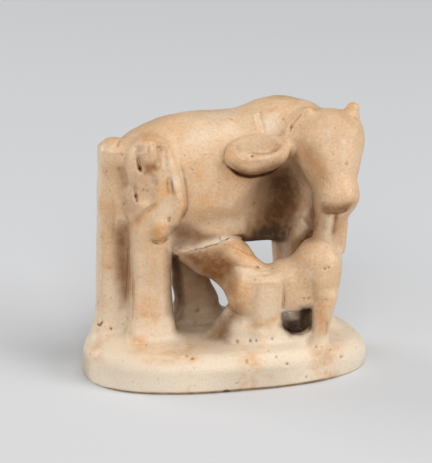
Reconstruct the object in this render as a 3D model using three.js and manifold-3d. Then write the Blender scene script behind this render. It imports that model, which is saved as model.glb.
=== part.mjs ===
import * as THREE from 'three';
import { MarchingCubes } from 'three/addons/objects/MarchingCubes.js';
import { SimplifyModifier } from 'three/addons/modifiers/SimplifyModifier.js';
import { mergeVertices } from 'three/addons/utils/BufferGeometryUtils.js';
import Module from 'manifold-3d';

// Sizes in millimetres. X runs from tail to head, -Y is the carved front, Z is up from the underside.
const plinth = { length: 104, width: 57, height: 13.2, shoulder: 6.2, power: 2.45, turn: -1.5,
  fall: 0.13, fallFrom: 30, allowance: 3 };
const block = { centreZ: 49, halfSize: 56, cells: 96, triangles: 9300 };

const bodyY = 10.5;

// A rounded mass: an ellipsoid, boxier when the power rises above 2, turned about X, Y and Z in degrees.
function lobe(centre, radii, turn = [0, 0, 0], power = 2) {
  const angles = turn.map(THREE.MathUtils.degToRad);
  const spin = new THREE.Matrix4().makeRotationFromEuler(new THREE.Euler(...angles, 'ZYX'));
  const m = spin.elements;
  const [a, b, c] = radii;
  return (x, y, z) => {
    const dx = x - centre[0];
    const dy = y - centre[1];
    const dz = z - centre[2];
    const u = Math.abs(m[0] * dx + m[1] * dy + m[2] * dz) / a;
    const v = Math.abs(m[4] * dx + m[5] * dy + m[6] * dz) / b;
    const w = Math.abs(m[8] * dx + m[9] * dy + m[10] * dz) / c;
    if (power === 2) {
      const reach = Math.sqrt(u * u + v * v + w * w);
      const slope = Math.sqrt((u / a) ** 2 + (v / b) ** 2 + (w / c) ** 2);
      return slope > 1e-6 ? (reach * (reach - 1)) / slope : -Math.min(a, b, c);
    }
    const sum = u ** power + v ** power + w ** power;
    if (sum < 1e-9) return -Math.min(a, b, c);
    const reach = sum ** (1 / power);
    const lift = sum ** (1 / power - 1);
    const slope = lift * Math.hypot(u ** (power - 1) / a, v ** (power - 1) / b, w ** (power - 1) / c);
    return (reach - 1) / slope;
  };
}

// A round limb through stations of [x, y, z, radius].
function limb(...stations) {
  return (x, y, z) => {
    let best = Infinity;
    for (let i = 1; i < stations.length; i++) {
      const [ax, ay, az, ar] = stations[i - 1];
      const [bx, by, bz, br] = stations[i];
      const ux = bx - ax;
      const uy = by - ay;
      const uz = bz - az;
      const along = ((x - ax) * ux + (y - ay) * uy + (z - az) * uz) / (ux * ux + uy * uy + uz * uz);
      const t = Math.min(1, Math.max(0, along));
      const gap = Math.hypot(x - ax - t * ux, y - ay - t * uy, z - az - t * uz);
      best = Math.min(best, gap - ar - t * (br - ar));
    }
    return best;
  };
}

// An upright post with rows of [z, x, y, half depth in X, half depth in Y], squarer as the power rises.
function post(rows, power) {
  const last = rows.length - 1;
  return (x, y, z) => {
    let i = 1;
    while (i < last && z > rows[i][0]) i++;
    const low = rows[i - 1];
    const high = rows[i];
    const t = THREE.MathUtils.smoothstep(z, low[0], high[0]);
    const mix = (k) => low[k] + (high[k] - low[k]) * t;
    const a = mix(3);
    const b = mix(4);
    const u = Math.abs(x - mix(1)) / a;
    const v = Math.abs(y - mix(2)) / b;
    const sum = Math.max(u ** power + v ** power, 1e-9);
    const slope = sum ** (1 / power - 1) * Math.hypot(u ** (power - 1) / a, v ** (power - 1) / b);
    const wall = sum < 1e-6 ? -Math.min(a, b) : (sum ** (1 / power) - 1) / slope;
    return Math.max(wall, rows[0][0] - z, z - rows[last][0]);
  };
}

// Two masses flow together over a fillet of about the given width.
function flow(a, b, width) {
  const h = Math.max(width - Math.abs(a - b), 0) / width;
  return Math.min(a, b) - (h * h * width) / 4;
}

function blend(width, ...fields) {
  return (x, y, z) => {
    let d = fields[0](x, y, z);
    for (let i = 1; i < fields.length; i++) d = flow(d, fields[i](x, y, z), width);
    return d;
  };
}

function carve(width, field, ...tools) {
  return (x, y, z) => {
    let d = field(x, y, z);
    for (const tool of tools) d = -flow(-d, tool(x, y, z), width);
    return d;
  };
}

function plinthField() {
  const a = plinth.length / 2;
  const b = plinth.width / 2;
  const n = plinth.power;
  const r = plinth.shoulder;
  const turn = THREE.MathUtils.degToRad(plinth.turn);
  return (x, y, z) => {
    const u = Math.abs(x * Math.cos(turn) + y * Math.sin(turn)) / a;
    const v = Math.abs(y * Math.cos(turn) - x * Math.sin(turn)) / b;
    const sum = Math.max(u ** n + v ** n, 1e-6);
    const slope = sum ** (1 / n - 1) * Math.hypot(u ** (n - 1) / a, v ** (n - 1) / b);
    const wall = (sum ** (1 / n) - 1) / slope;
    const top = z - plinth.height + plinth.fall * Math.max(x - plinth.fallFrom, 0);
    const p = Math.max(wall + r, -b);
    const q = top + r;
    const slab = Math.min(Math.max(p, q), 0) + Math.hypot(Math.max(p, 0), Math.max(q, 0)) - r;
    return Math.max(slab, -plinth.allowance - z);
  };
}

// The cow's barrel, hump, shoulder, neck and throat, with a hollow cut between shoulder, throat and head.
function trunkField() {
  const barrel = lobe([-2, bodyY, 68.3], [40, 17.3, 24.5], [0, 0, 0], 2.4);
  const hump = lobe([22.5, bodyY, 80], [13.6, 12, 16.6]);
  const shoulder = lobe([20, 11.5, 65], [16, 14.5, 20]);
  const neck = limb([19, 10, 80, 14.5], [30, 5, 84, 11.6], [37, -2, 85.4, 8.4]);
  const throat = limb([36, -4, 80, 7], [35, 0, 67, 6.8], [32, 2, 56, 6.4]);
  const neckFold = lobe([16, -5.5, 93], [6, 4.5, 7], [0, 20, 0]);
  return carve(3, blend(6, barrel, hump, shoulder, neck, throat), neckFold);
}

const rightHind = post([[6, -27.6, 3.5, 11, 10.5], [14, -27.8, 4, 9.2, 9], [22, -27.6, 4.6, 8.2, 7.6],
  [32, -27.6, 4.8, 7.9, 7.4], [46, -27.4, 4, 7.9, 8.2], [56, -27.4, 3, 8.2, 9],
  [66, -27.5, 3.4, 9, 9.6]], 3.6);

// The other three legs, the left haunch and the udder.
function legFields() {
  const leftHind = post([[6, -6, 18, 11, 9.5], [14, -6.2, 18, 9.8, 8.6], [19, -6.4, 18, 7.9, 7.6],
    [30, -9.2, 17.5, 7, 7.2], [40, -11, 17, 7.4, 7.5], [50, -14, 15.6, 8.4, 8.6],
    [62, -18, 12, 8, 8.5]], 3);
  const rightFore = post([[6, 34.6, 2, 9, 9], [14, 34.4, 2.5, 7.2, 7.6], [22, 33, 3, 5.7, 6.4],
    [36, 29.8, 3, 5.8, 6.5], [52, 27, 3, 6, 7], [64, 23, 7, 7, 7.5]], 2.6);
  const leftFore = post([[6, 30.5, 16.3, 9, 8.4], [14, 30.5, 16.3, 7.8, 7.6], [22, 30.6, 16.5, 6.9, 7],
    [40, 29.4, 16.5, 6.9, 7.2], [50, 28.5, 15.5, 7.6, 8], [64, 22, 12, 8, 8.5]], 2.6);
  const leftHaunch = lobe([-22.5, 18.6, 67], [12, 8.6, 17], [0, 0, 0], 2.2);
  const udder = lobe([-14, 9, 47], [9, 8, 6]);
  return [rightHind, leftHaunch, leftHind, rightFore, leftFore, udder];
}

// The tail hangs as a strut down to the base, with a web of stone curving from it to the right hind leg.
function withTail(cow) {
  const strut = post([[6, -42, 8.3, 6.8, 7.5], [14, -41.7, 8.3, 5.8, 6.2], [22, -41, 8.3, 5, 5.4],
    [45, -40.5, 8.3, 4.7, 5.1], [64, -40.2, 8.3, 4.7, 5.2], [76, -39.6, 8.3, 4.6, 5.3],
    [82, -38.9, 8.3, 4.5, 5.2]], 3.4);
  const root = lobe([-39, 8.3, 80.9], [4.9, 5.5, 5.2], [0, 0, 0], 2.4);
  const web = post([[8, -37.6, 3.4, 3.2, 6.4], [50, -37.6, 3.4, 3.2, 6.4], [66, -37, 6, 3, 5]], 4);
  const hollow = limb([-41.6, -3.3, 6, 6.3], [-41.6, -3.3, 48, 6.3], [-40, -3.3, 58, 3]);
  const edge = limb([-38.7, -1.5, 14, 3.2], [-38.5, -1.3, 24, 3.5], [-38.5, -1.3, 48, 3.5],
    [-38.4, -2, 56, 2.6]);
  return blend(1, blend(3, cow, strut, root), carve(0.8, web, hollow, edge), rightHind);
}

function cowField() {
  const bellyGroove = limb([-17, -9.4, 53, 4.4], [-4, -9.2, 54, 4.8], [8, -8.6, 54.4, 5]);
  const bellyLip = limb([-20, -1.4, 50, 3], [-14.5, -2.2, 49.4, 3.1], [-10.3, -2.4, 49.8, 3.1],
    [0.3, -2, 51.8, 3], [5, -0.6, 52.2, 2.6]);
  const neckHollow = lobe([19.5, -30, 61.5], [16, 35.5, 20]);
  const dewlap = limb([35, -4, 80, 7], [33.6, -0.4, 68, 6.8], [32, 1, 60, 5.6]);
  const foreKnob = lobe([28.8, -1.5, 51], [5.2, 6, 7]);
  let cow = blend(5, trunkField(), ...legFields());
  cow = carve(8, carve(7, cow, bellyGroove), neckHollow);
  cow = withHaunch(blend(5, cow, dewlap));
  cow = blend(3, blend(4, cow, foreKnob), bellyLip);
  return withTail(cow);
}

// The worn right haunch: a boss on the hip with a fold beside it, a sunk panel and a smooth front edge.
function withHaunch(cow) {
  const thigh = lobe([-27, -0.6, 71.5], [9.4, 7.6, 16.6], [0, 0, 0], 2.4);
  const frontEdge = limb([-24.6, -2.6, 86, 2.2], [-21.9, -5.6, 79, 2.5], [-19.4, -6.2, 71.5, 2.7],
    [-19, -6.2, 64.5, 2.7], [-21, -5.8, 58, 2.7], [-24, -5, 54.6, 2.7]);
  const hipBoss = lobe([-29, -5.8, 83.6], [3.4, 3.6, 5.4], [0, 6, 0]);
  const middleFold = limb([-25.7, -5.4, 85.6, 1.7], [-25, -7, 79.6, 1.7]);
  const ridge = limb([-24.6, -6.4, 78, 2], [-24.6, -6.6, 68, 2.2]);
  const stifle = lobe([-25.6, -4.8, 55.2], [3.4, 4.4, 4]);
  const panel = lobe([-31, -9.6, 71], [3.8, 2.6, 5.6], [0, 6, 0], 3);
  const crease = limb([-36, -6.8, 58.4, 0.9], [-31.4, -8.2, 62, 1], [-26.6, -9.2, 66, 0.9]);
  const mass = blend(1.2, blend(4, cow, thigh), frontEdge, hipBoss, middleFold, ridge, stifle);
  return carve(1.2, mass, panel, crease);
}

function cowHeadField() {
  const skull = lobe([35.3, -5.4, 84.8], [14.2, 8.8, 9.7], [0, 0, 0], 2.2);
  const face = lobe([36.3, -8.6, 79.5], [11, 7.6, 13.5], [-24, 0, 0]);
  const muzzle = lobe([37, -16.6, 66], [6.6, 6, 5.6], [-10, 0, 0]);
  const nostril = lobe([41.2, -17.4, 66.6], [3.4, 3.6, 3.4]);
  const chin = lobe([36, -15.6, 61], [6, 5, 5]);
  const rightHorn = limb([30.8, -4.8, 90.6, 3.6], [29.2, -5, 94.4, 2]);
  const leftHorn = limb([44, -4.5, 89.5, 4.6], [46, -4, 94.4, 2.4]);
  const head = blend(5, skull, face, muzzle, nostril, chin);
  return blend(2, head, rightHorn, leftHorn);
}

// The right ear lies back along the flank, a thick leaf with a scooped upper side.
function cowEarField() {
  const bed = lobe([10.2, -5, 82], [9.6, 4.6, 5.2]);
  const leaf = lobe([9.2, -10, 81.6], [11.6, 4.4, 7], [-28, -6, 0]);
  const root = limb([14, -8, 83, 4], [21, -7, 83.4, 3.6]);
  const scoop = lobe([13.6, -13.4, 87.2], [9.4, 3, 4.8], [-42, -12, 0]);
  return carve(1.6, blend(2, bed, leaf, root), scoop);
}

// The left ear lies back on the far side of the neck.
function farEarField() {
  return lobe([42, 8.5, 84.5], [4, 10.5, 5.4], [0, 0, 22]);
}

// The calf reaches up under the cow: its body, head and raised shoulder.
function calfBodyField() {
  const rump = lobe([30.6, -14.3, 40.4], [9, 8.2, 10.4]);
  const torso = lobe([20.5, -11.5, 33], [13, 7.6, 9.6], [0, -24, -18]);
  const shoulder = lobe([7.5, -8.5, 30], [8.5, 8, 9.6], [0, 0, -18], 2.2);
  const head = limb([7, -7, 36, 6.6], [0.8, -4, 41.8, 7], [-8, -1, 41.8, 6.2], [-14, 0.5, 44, 4.4],
    [-18.5, 1.5, 46, 2.4]);
  const throat = limb([-6, -1.5, 40, 3.8], [2.4, -5, 32, 4.2]);
  const shoulderBlade = lobe([3.6, -11, 32.5], [4.4, 4.6, 7.4]);
  const belly = lobe([23.4, -13.4, 28.4], [8.4, 6, 4], [0, -4, -18], 3);
  return blend(3, rump, torso, shoulder, head, throat, shoulderBlade, belly);
}

// It kneels on its folded forelegs and stands on its hind legs, with a sill of stone left between them.
function calfField() {
  const knee = lobe([8, -11, 16.4], [11, 5.6, 6.4], [0, 0, -17], 2.6);
  const hoof = limb([13, -14, 15.4, 3.6], [18, -16.6, 13.4, 2.8]);
  const farKnee = limb([5, -5, 20.5, 4], [-1, -4.6, 16, 3.4], [-6, -3.6, 12, 2]);
  const farFore = limb([8, -4, 26, 5], [3, -4, 20, 4.4]);
  const upperArm = post([[12, 11.8, -12.6, 5.6, 6], [24, 11.7, -12.8, 5.2, 5.4],
    [36, 11.4, -12.2, 5.2, 5.2], [38, 11.2, -11.4, 4.8, 4.8]], 3.4);
  const thigh = lobe([31.6, -17.6, 37.5], [6.7, 5.6, 11]);
  const shank = limb([32, -19.4, 30, 4.6], [29.9, -21.6, 20, 3.2], [29.2, -22, 12, 3.5]);
  const farHind = limb([31.4, -11, 36, 6.4], [31, -10.5, 25, 3.8], [29.5, -10.5, 12, 4.2]);
  const neckTip = limb([2, -8.6, 42, 3.4], [7, -10.2, 40.2, 2.3], [11, -11.2, 38.6, 1]);
  const sill = limb([16.6, -17, 17, 1.2], [19.6, -18.5, 14.8, 1.4], [23.4, -20, 14.6, 1.4],
    [26.4, -21, 16.6, 1.2]);
  const tail = limb([38.6, -14.4, 46, 2.4], [39, -15, 52, 2.2], [38.6, -15.6, 60, 2.8]);
  const tongue = limb([34.5, -15.6, 60, 5], [33.4, -14.4, 50, 4.6]);
  const kneeling = blend(2, calfBodyField(), blend(4, knee, hoof, farKnee));
  const limbs = blend(2, kneeling, farFore, thigh, shank, farHind, upperArm);
  return blend(1.5, limbs, neckTip, sill, tail, tongue);
}

// The whole block is one surface: base, cow and calf flow into each other where stone was left standing.
function groupField() {
  const base = plinthField();
  const cow = blend(2, blend(3, cowField(), cowHeadField()), cowEarField(), farEarField());
  const calf = calfField();
  return (x, y, z) => {
    const animals = flow(cow(x, y, z), calf(x, y, z), 1.5);
    return flow(animals, base(x, y, z), 3);
  };
}

// Samples the field on a cubic lattice and returns its zero surface as a closed triangle mesh.
function surfaceOf(field) {
  const n = block.cells;
  const cubes = new MarchingCubes(n, new THREE.MeshBasicMaterial(), false, false, 200000);
  cubes.isolation = 0;
  const half = n / 2;
  for (let k = 0; k < n; k++) {
    for (let j = 0; j < n; j++) {
      for (let i = 0; i < n; i++) {
        const x = ((i - half) / half) * block.halfSize;
        const y = ((j - half) / half) * block.halfSize;
        const z = ((k - half) / half) * block.halfSize + block.centreZ;
        const outside = Math.abs(y) > plinth.width / 2 + 5;
        const d = outside ? 3 : field(x, y, z);
        const step = Math.max(Math.abs(d), 0.02);
        cubes.field[i + j * n + k * n * n] = d > 0 ? -step : step;
      }
    }
  }
  cubes.update();
  const count = cubes.geometry.drawRange.count;
  const corners = cubes.geometry.attributes.position.array.slice(0, count * 3);
  const geometry = new THREE.BufferGeometry();
  geometry.setAttribute('position', new THREE.BufferAttribute(corners, 3));
  geometry.scale(block.halfSize, block.halfSize, block.halfSize);
  geometry.translate(0, 0, block.centreZ);
  return mergeVertices(geometry, 1e-3);
}

const wasm = await Module();
wasm.setup();

function toSolid(geometry) {
  const merged = mergeVertices(new THREE.BufferGeometry()
    .setAttribute('position', geometry.attributes.position)
    .setIndex(geometry.index), 1e-4);
  return new wasm.Manifold(new wasm.Mesh({
    numProp: 3,
    vertProperties: new Float32Array(merged.attributes.position.array),
    triVerts: new Uint32Array(merged.index.array),
  }));
}

function toGeometry(solid) {
  const mesh = solid.getMesh();
  const geometry = new THREE.BufferGeometry();
  geometry.setAttribute('position', new THREE.BufferAttribute(mesh.vertProperties, 3));
  geometry.setIndex(new THREE.BufferAttribute(mesh.triVerts, 1));
  geometry.computeVertexNormals();
  return geometry;
}

const dense = surfaceOf(groupField());
const spare = Math.max(0, dense.attributes.position.count - block.triangles / 2);
const light = await new SimplifyModifier().modify(dense, Math.round(spare));
const ground = new THREE.BoxGeometry(4 * plinth.length, 4 * plinth.length, 40).translate(0, 0, -20);
ground.deleteAttribute('normal').deleteAttribute('uv');
const carved = toSolid(light).subtract(toSolid(mergeVertices(ground)));

const marble = new THREE.MeshStandardMaterial({ color: '#dcb894', roughness: 0.55, metalness: 0 });
const group = new THREE.Mesh(toGeometry(carved), marble);
group.name = 'cow_and_calf_group';

const sculpture = new THREE.Group();
sculpture.name = 'marble_cow_sculpture';
sculpture.add(group);

export default sculpture;
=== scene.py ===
import math

import bpy
import numpy as np
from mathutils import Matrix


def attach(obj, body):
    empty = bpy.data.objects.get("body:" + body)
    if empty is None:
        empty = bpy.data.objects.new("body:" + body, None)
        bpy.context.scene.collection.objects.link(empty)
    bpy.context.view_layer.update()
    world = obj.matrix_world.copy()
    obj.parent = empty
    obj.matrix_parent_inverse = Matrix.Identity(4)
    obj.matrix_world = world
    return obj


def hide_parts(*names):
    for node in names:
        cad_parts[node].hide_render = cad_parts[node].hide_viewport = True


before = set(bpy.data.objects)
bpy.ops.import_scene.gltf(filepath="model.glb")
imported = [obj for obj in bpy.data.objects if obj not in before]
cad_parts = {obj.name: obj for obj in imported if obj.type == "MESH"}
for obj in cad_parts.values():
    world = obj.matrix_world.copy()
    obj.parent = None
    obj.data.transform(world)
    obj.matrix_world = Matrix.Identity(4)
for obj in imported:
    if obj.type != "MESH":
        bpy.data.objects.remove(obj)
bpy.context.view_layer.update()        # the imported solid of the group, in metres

import openvdb
from mathutils import Euler, Vector

print("frame loaded")

perMetre = 1000  # millimetres

# the photograph's view, in millimetres and degrees; tooling on the front is placed by its pixels
photoView = {
    "azimuth": -14,
    "elevation": 18,
    "distance": 800,
    "aim": (-3.26, 0.43, 50.86),
    "pixelSize": 0.36,       # mm on the object for one pixel
    "size": (432, 463),
    "sensor": 36,
}
viewTurn = math.radians(photoView["azimuth"])
viewRise = math.radians(photoView["elevation"])
viewBack = np.array((math.sin(viewTurn) * math.cos(viewRise), -math.cos(viewTurn) * math.cos(viewRise),
                     math.sin(viewRise)))
viewRight = np.array((math.cos(viewTurn), math.sin(viewTurn), 0))
viewUp = np.cross(viewBack, viewRight)
eyePoint = np.array(photoView["aim"]) + viewBack * photoView["distance"]
focalPixels = photoView["distance"] / photoView["pixelSize"]


def toPixels(points):
    away = points - eyePoint
    depth = -away @ viewBack
    across = photoView["size"][0] / 2 + focalPixels * (away @ viewRight) / depth
    down = photoView["size"][1] / 2 - focalPixels * (away @ viewUp) / depth
    return np.stack((across, down), 1), depth


# The stone is carved as a field of distances in millimetres on a lattice, negative inside the marble.
# X runs from tail to head, -Y is the carved front, Z is up from the underside.
lattice = {
    "step": 0.45,  # mm between samples
    "low": (-54.1, -31.1, -1.9),
    "high": (54, 31, 99.5),
    "reach": 14,                         # how far round a form its distances are worked out
    "far": 30.0,                         # distance held where no form is near
    "triangles": 190000,
}
latticeAxes = [np.arange(low, high, lattice["step"], dtype=np.float32)
               for low, high in zip(lattice["low"], lattice["high"])]
latticeShape = tuple(len(axis) for axis in latticeAxes)
alongX = latticeAxes[0][:, None, None]
alongY = latticeAxes[1][None, :, None]
alongZ = latticeAxes[2][None, None, :]


# forms: each is its lowest corner, its highest corner and the distance to its skin

def lobe(centre, radii, turn=(0, 0, 0), power=2.0):
    turned = np.array(Euler([math.radians(angle) for angle in turn]).to_matrix())
    half = np.abs(turned) @ np.array(radii)

    def distance(x, y, z):
        away = (x - centre[0], y - centre[1], z - centre[2])
        u, v, w = (np.abs(sum(turned[k, i] * away[k] for k in range(3))) / radii[i] for i in range(3))
        total = np.maximum(u ** power + v ** power + w ** power, 1e-6)
        steep = np.sqrt((u ** (power - 1) / radii[0]) ** 2 + (v ** (power - 1) / radii[1]) ** 2
                        + (w ** (power - 1) / radii[2]) ** 2) * total ** (1 / power - 1)
        return np.maximum((total ** (1 / power) - 1) / np.maximum(steep, 1e-5), -min(radii))

    return np.array(centre) - half, np.array(centre) + half, distance


def limb(*stations):
    rows = np.array(stations, dtype=float)  # x, y, z and radius of each station

    def distance(x, y, z):
        best = None
        for start, end in zip(rows[:-1], rows[1:]):
            run = end - start
            away = (x - start[0], y - start[1], z - start[2])
            t = np.clip(sum(away[k] * run[k] for k in range(3)) / (run[:3] @ run[:3]), 0, 1)
            gap = np.sqrt(sum((away[k] - t * run[k]) ** 2 for k in range(3))) - start[3] - t * run[3]
            best = gap if best is None else np.minimum(best, gap)
        return best

    width = rows[:, 3:].max()
    return rows[:, :3].min(0) - width, rows[:, :3].max(0) + width, distance


# distance to an oval wall, squared off by its power; u and v are measured in half lengths a and b
def ovalWall(u, v, a, b, power):
    total = np.maximum(u ** power + v ** power, 1e-6)
    steep = np.sqrt((u ** (power - 1) / a) ** 2 + (v ** (power - 1) / b) ** 2) * total ** (1 / power - 1)
    return np.maximum((total ** (1 / power) - 1) / np.maximum(steep, 1e-5), -np.minimum(a, b))


def post(rows, power):
    table = np.array(rows, dtype=float)  # height, centre x, centre y, half depth in x, half depth in y

    def distance(x, y, z):
        place = np.clip(np.searchsorted(table[:, 0], z) - 1, 0, len(table) - 2)
        t = np.clip((z - table[place, 0]) / (table[place + 1, 0] - table[place, 0]), 0, 1)
        t = t * t * (3 - 2 * t)
        cx, cy, a, b = (table[place, k] * (1 - t) + table[place + 1, k] * t for k in range(1, 5))
        wall = ovalWall(np.abs(x - cx) / a, np.abs(y - cy) / b, a, b, power)
        return np.maximum(wall, np.maximum(table[0, 0] - z, z - table[-1, 0]))

    low = (table[:, 1] - table[:, 3]).min(), (table[:, 2] - table[:, 4]).min(), table[0, 0]
    high = (table[:, 1] + table[:, 3]).max(), (table[:, 2] + table[:, 4]).max(), table[-1, 0]
    return np.array(low), np.array(high), distance


def flow(a, b, width):
    h = np.maximum(width - np.abs(a - b), 0) / width  # two masses meet over a fillet of this width
    return np.minimum(a, b) - h * h * (width / 4)


def rawBlock():
    return np.full(latticeShape, lattice["far"], dtype=np.float32)


def inWindow(form):
    low, high, distance = form
    window = []
    for i in range(3):
        first = int((low[i] - lattice["reach"] - lattice["low"][i]) / lattice["step"])
        last = int((high[i] + lattice["reach"] - lattice["low"][i]) / lattice["step"]) + 2
        window.append(slice(max(first, 0), max(last, 1)))
    window = tuple(window)
    return window, distance(alongX[window[0]], alongY[:, window[1]], alongZ[:, :, window[2]])


def join(block, width, *forms):
    for form in forms:
        window, distance = inWindow(form)
        block[window] = flow(block[window], distance, width)


def cut(block, width, *forms):
    for form in forms:
        window, distance = inWindow(form)
        block[window] = -flow(-block[window], distance, width)


# the oval base, with a soft shoulder and a top that falls away under the head end
baseStone = {"length": 104, "width": 57, "height": 13.2, "shoulder": 6.2, "power": 2.45, "turn": -1.5,
             "fall": 0.13, "fallFrom": 30}


def carveBase():
    a, b, r = baseStone["length"] / 2, baseStone["width"] / 2, baseStone["shoulder"]
    turn = math.radians(baseStone["turn"])
    u = np.abs(alongX * math.cos(turn) + alongY * math.sin(turn)) / a
    v = np.abs(alongY * math.cos(turn) - alongX * math.sin(turn)) / b
    wall = ovalWall(u, v, a, b, baseStone["power"]) + r
    fall = baseStone["fall"] * np.maximum(alongX - baseStone["fallFrom"], 0)
    top = alongZ - baseStone["height"] + fall + r
    return (np.minimum(np.maximum(wall, top), 0)
            + np.sqrt(np.maximum(wall, 0) ** 2 + np.maximum(top, 0) ** 2) - r)


cowTrunk = {
    "barrel": lobe((-2, 10.5, 68.3), (40, 17.3, 24.5), power=2.4),
    "hump": lobe((22.5, 10.5, 80), (13.6, 12, 16.6)),
    "shoulder": lobe((20, 11.5, 65), (16, 14.5, 20)),
    "neck": limb((19, 10, 80, 14.5), (30, 5, 84, 11.6), (37, -2, 85.4, 8.4)),
    "throat": limb((36, -4, 80, 7), (35, 0, 67, 6.8), (32, 2, 56, 6.4)),
}
neckHollow = lobe((19.5, -30, 61.5), (16, 35.5, 20))
dewlap = limb((35, -4, 80, 7), (33.6, -0.4, 68, 6.8), (32, 1, 60, 5.6))
bellyGroove = limb((-17, -9.4, 53, 4.4), (-4, -9.2, 54, 4.8), (8, -8.6, 54.4, 5))
neckFold = lobe((16, -5.5, 93), (6, 4.5, 7), (0, 20, 0))

cowLegs = {
    "rightHind": post([(6, -27.6, 3.5, 11, 10.5), (14, -27.8, 4, 9.2, 9), (22, -27.6, 4.6, 8.2, 7.6),
                       (32, -27.6, 4.8, 7.9, 7.4), (46, -27.4, 4, 7.9, 8.2), (56, -27.4, 3, 8.2, 9),
                       (66, -27.5, 3.4, 9, 9.6)], 3.6),
    "leftHaunch": lobe((-22.5, 18.6, 67), (12, 8.6, 17), power=2.2),
    "leftHind": post([(6, -6, 18, 11, 9.5), (14, -6.2, 18, 9.8, 8.6), (19, -6.4, 18, 7.9, 7.6),
                      (30, -9.2, 17.5, 7, 7.2), (40, -11, 17, 7.4, 7.5), (50, -14, 15.6, 8.4, 8.6),
                      (62, -18, 12, 8, 8.5)], 3),
    "rightFore": post([(6, 34.6, 2, 9, 9), (14, 34.4, 2.5, 7.2, 7.6), (22, 33, 3, 5.7, 6.4),
                       (36, 29.8, 3, 5.8, 6.5), (52, 27, 3, 6, 7), (64, 23, 7, 7, 7.5)], 2.6),
    "leftFore": post([(6, 30.5, 16.3, 9, 8.4), (14, 30.5, 16.3, 7.8, 7.6), (22, 30.6, 16.5, 6.9, 7),
                      (40, 29.4, 16.5, 6.9, 7.2), (50, 28.5, 15.5, 7.6, 8), (64, 22, 12, 8, 8.5)], 2.6),
    "udder": lobe((-14, 9, 47), (9, 8, 6)),
}
foreKnob = lobe((28.8, -1.5, 51), (5.2, 6, 7))
bellyEdge = limb((8, 3.5, 48.6, 3), (17, 3.6, 48.4, 3), (24, 3.6, 47.4, 3))
bellyLip = limb((-20, -1.4, 50, 3), (-14.5, -2.2, 49.4, 3.1), (-10.3, -2.4, 49.8, 3.1), (0.3, -2, 51.8, 3),
                (5, -0.6, 52.2, 2.6))

cowTail = {
    "post": post([(6, -42, 8.3, 6.8, 7.5), (14, -41.7, 8.3, 5.8, 6.2), (22, -41, 8.3, 5, 5.4),
                  (45, -40.5, 8.3, 4.7, 5.1), (64, -40.2, 8.3, 4.7, 5.2), (76, -39.6, 8.3, 4.6, 5.3),
                  (82, -38.9, 8.3, 4.5, 5.2)], 3.4),
    "root": lobe((-39, 8.3, 80.9), (4.9, 5.5, 5.2), power=2.4),
}

# between tail and leg the stone is left standing, hollowed in a curve up to the leg's edge
tailWeb = post([(8, -37.6, 3.4, 3.2, 6.4), (50, -37.6, 3.4, 3.2, 6.4), (66, -37, 6, 3, 5)], 4)
webHollow = limb((-41.6, -3.3, 6, 6.3), (-41.6, -3.3, 48, 6.3), (-40, -3.3, 58, 3))
webEdge = limb((-38.7, -1.5, 14, 3.2), (-38.5, -1.3, 24, 3.5), (-38.5, -1.3, 48, 3.5), (-38.4, -2, 56, 2.6))

# the worn right haunch: a boss high on the hip with folds beside it, a sunk panel, a smooth front edge
haunchThigh = lobe((-27, -0.6, 71.5), (9.4, 7.6, 16.6), power=2.4)
haunchMasses = {
    "frontEdge": limb((-24.6, -2.6, 86, 2.2), (-21.9, -5.6, 79, 2.5), (-19.4, -6.2, 71.5, 2.7),
                      (-19, -6.2, 64.5, 2.7), (-21, -5.8, 58, 2.7), (-24, -5, 54.6, 2.7)),
    "hipBoss": lobe((-29, -5.8, 83.6), (3.4, 3.6, 5.4), (0, 6, 0)),
    "middleFold": limb((-25.7, -5.4, 85.6, 1.7), (-25, -7, 79.6, 1.7)),
    "ridge": limb((-24.6, -6.4, 78, 2), (-24.6, -6.6, 68, 2.2)),
    "stifle": lobe((-25.4, -4.5, 56.6), (3.7, 4.4, 5.6), (0, 12, 0)),
}
haunchPanel = lobe((-31.2, -9.6, 71), (4, 3.3, 5.8), (0, 6, 0), 3)

cowHead = {
    "skull": lobe((35.3, -5.4, 84.8), (14.2, 8.8, 9.7), power=2.2),
    "face": lobe((36.3, -8.6, 79.5), (11, 7.6, 13.5), (-24, 0, 0)),
    "bridge": limb((36.2, -11, 76, 7.6), (36.2, -15.4, 67.5, 6.4)),
    "muzzle": lobe((36.6, -16.6, 66), (6.2, 6, 5.4), (-10, 0, 0)),
    "nostril": lobe((40, -17.2, 67), (3.2, 3.5, 3.1)),
    "chin": lobe((35.6, -15.4, 61.4), (5.5, 4.8, 4.6)),
}
hornStubs = {
    "right": limb((30.8, -4.8, 90.6, 3.6), (29.2, -5, 94.4, 2)),
    "left": limb((44, -4.5, 89.5, 4.6), (46, -4, 94.4, 2.4)),
}
cowEar = {
    "bed": lobe((10.2, -5, 82), (9.6, 4.6, 5.2)),
    "leaf": lobe((9.2, -8.8, 81.6), (11.6, 4.4, 7), (-28, -6, -12)),
    "root": limb((14, -8, 83, 4), (21, -7, 83.4, 3.6)),
}
earScoop = lobe((13.4, -13.1, 87.4), (9.4, 2.6, 4.8), (-42, -12, -12))
nape = limb((22.9, -7.2, 86.3, 3), (25, -5.5, 89.5, 3), (26.7, -4.3, 90.9, 3), (28.6, -2.3, 92.2, 3))
farEar = lobe((42, 8.5, 84.5), (4, 10.5, 5.4), (0, 0, 22))

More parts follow.
